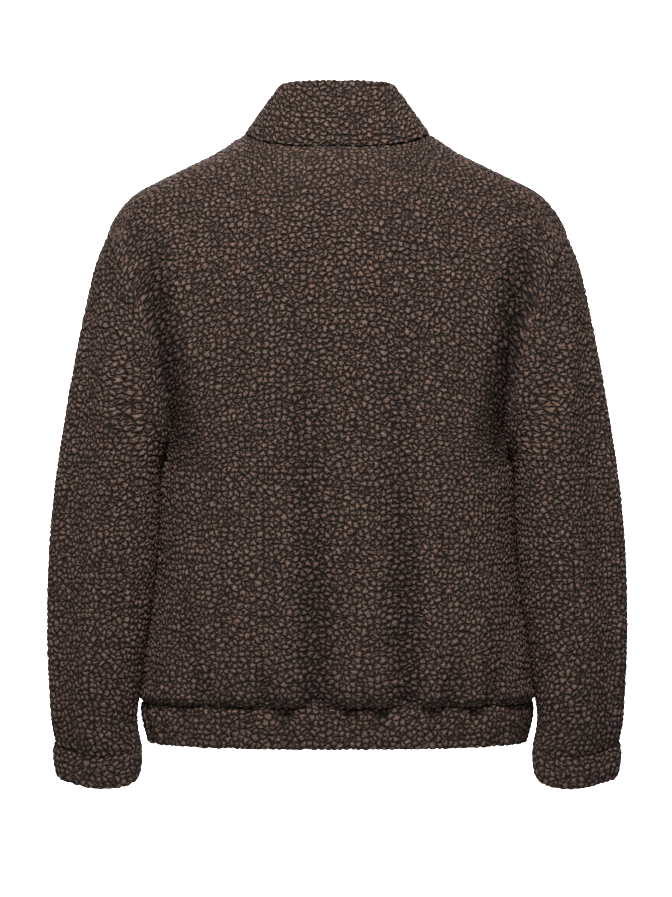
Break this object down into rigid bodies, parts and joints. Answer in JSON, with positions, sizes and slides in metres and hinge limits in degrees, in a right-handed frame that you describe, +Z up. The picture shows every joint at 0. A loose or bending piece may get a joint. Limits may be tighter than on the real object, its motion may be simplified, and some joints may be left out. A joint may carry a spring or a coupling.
{
  "type": "boucle bomber jacket",
  "caption": "Boucle fleece bomber jacket with a stand collar, two-piece sleeves, cuffs, a gathered hem band and a closed front zip, worn shape.",
  "frame": {"origin": "on the jacket's middle line at neck height, where the wearer's neck and shoulders hold it up", "axes": "+Z up along the wearer's body, -Y towards the front where the zip is, +X towards the wearer's left"},
  "size_m": [0.6366, 0.2797, 0.7768],
  "materials": {
    "boucle": "curly boucle pile, dark brown, matte",
    "zip_tape": "woven tape, matte",
    "zip_metal": "dark brushed metal"
  },
  "bodies": {
    "jacket": {"back": "boucle", "collar": "boucle", "cuff_left": "boucle", "cuff_right": "boucle", "front_left": "boucle", "front_right": "boucle", "hem_band_back": "boucle", "hem_band_left": "boucle", "hem_band_right": "boucle", "sleeve_outer_left": "boucle", "sleeve_outer_right": "boucle", "sleeve_under_left": "boucle", "sleeve_under_right": "boucle", "zip_box": "zip_metal", "zip_slider": "zip_metal", "zip_tape_left": "zip_tape", "zip_tape_right": "zip_tape", "zip_teeth_left": "zip_metal", "zip_teeth_right": "zip_metal"},
    "pull": {"zip_pull": "zip_metal"}
  },
  "joints": [
    {"name": "pull_hinge", "type": "hinge", "parent": "jacket", "child": "pull", "pos_m": [0, -0.07289, 0.01559], "axis": [-1, 0, 0], "range_deg": [0, 150]}
  ]
}
